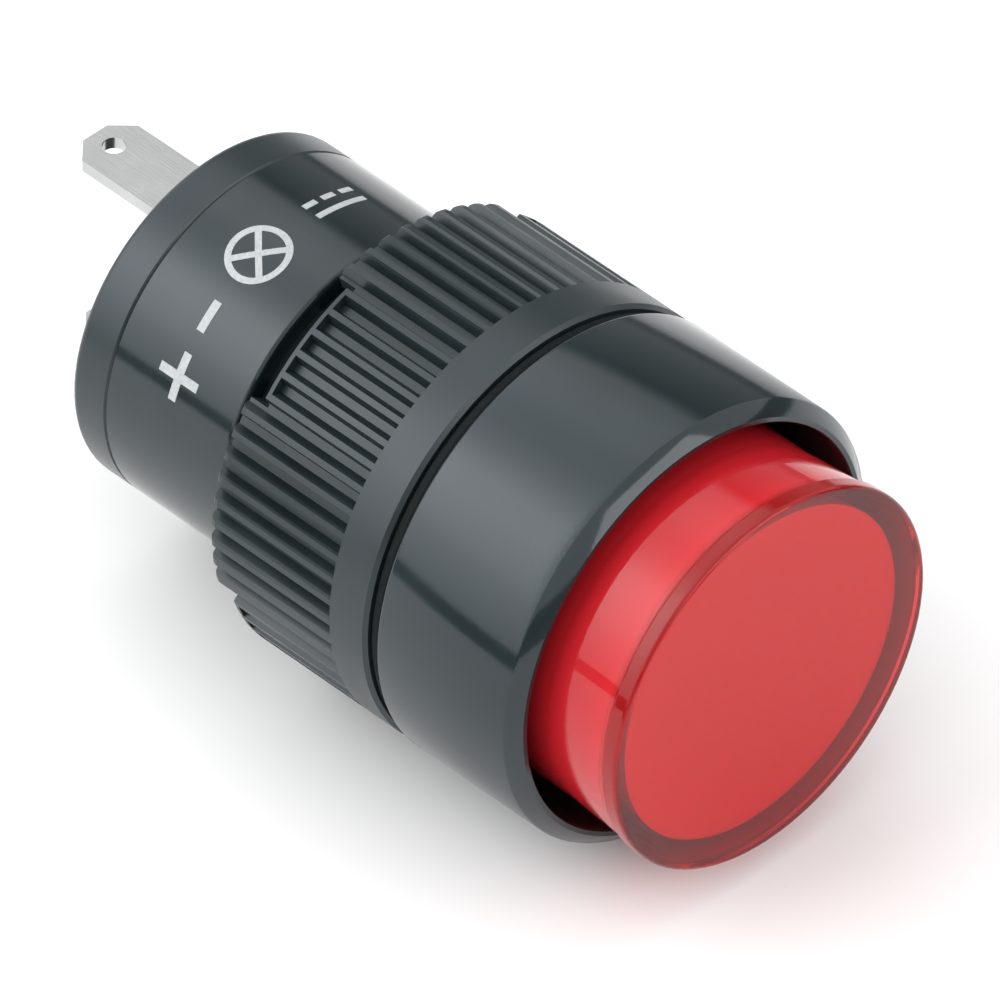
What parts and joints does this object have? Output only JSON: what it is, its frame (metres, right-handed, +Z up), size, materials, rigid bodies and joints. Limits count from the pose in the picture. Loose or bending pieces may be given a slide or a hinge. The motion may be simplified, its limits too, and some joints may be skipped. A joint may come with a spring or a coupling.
{
  "type": "panel pilot light",
  "caption": "Round panel-mounted pilot light: projecting red lens, black bezel and threaded barrel, gasket and ribbed lock nut, smooth rear case and flat blade terminals.",
  "frame": {"origin": "on the optical axis, in the plane where the back of the bezel meets the panel", "axes": "+Y points to the rear, through the panel and towards the terminals; the lens looks along -Y; +Z points up, from the lower terminal to the upper one; X is across"},
  "size_m": [0.018, 0.0346, 0.018],
  "materials": {
    "black_plastic": "moulded, semi-gloss",
    "red_lens": "clear, polished",
    "red_plate": "smooth",
    "milky_plastic": "frosted",
    "white_plastic": "smooth",
    "black_rubber": "satin",
    "ivory_plastic": "moulded",
    "tinned_brass": "bright tin plate",
    "spring_bronze": "satin",
    "nickel_brass": "nickel plate",
    "red_epoxy": "tinted, clear",
    "dark_insulator": "vitreous",
    "resistor_body": "lacquered",
    "lead_wire": "tinned"
  },
  "bodies": {
    "housing": {"bezel_housing": "black_plastic", "reflector": "white_plastic", "lens_seal": "black_rubber", "rear_case": "black_plastic", "rear_cap": "black_plastic", "lamp_socket": "ivory_plastic", "terminal_upper": "tinned_brass", "terminal_lower": "tinned_brass", "centre_contact": "spring_bronze", "side_contact": "spring_bronze"},
    "gasket": {"panel_gasket": "black_rubber"},
    "nut": {"lock_nut": "black_plastic"},
    "lens": {"lens_cap": "red_lens", "legend_plate": "red_plate", "diffuser": "milky_plastic"},
    "lamp": {"lamp_dome": "red_epoxy", "lamp_sleeve": "nickel_brass", "lamp_insulator": "dark_insulator", "lamp_tip": "nickel_brass", "lamp_resistor": "resistor_body", "anode_lead": "lead_wire", "cathode_lead": "lead_wire"}
  },
  "joints": [
    {"name": "nut_travel", "type": "slide", "parent": "housing", "child": "gasket", "axis": [0, 1, 0], "range_m": [0, 0.0245]},
    {"name": "nut_spin", "type": "hinge", "parent": "gasket", "child": "nut", "pos_m": [0, 0, 0], "axis": [0, 1, 0], "range_deg": [0, 8900]},
    {"name": "lens_pull", "type": "slide", "parent": "housing", "child": "lens", "axis": [0, -1, 0], "range_m": [0, 0.036]},
    {"name": "lamp_pull", "type": "slide", "parent": "housing", "child": "lamp", "axis": [0, -1, 0], "range_m": [0, 0.0198]}
  ],
  "couplings": [
    {"joint": "nut_spin", "follows": "nut_travel", "rad_per_m": 6283.2},
    {"joint": "lamp_pull", "follows": "lens_pull", "ratio": 0.55}
  ]
}
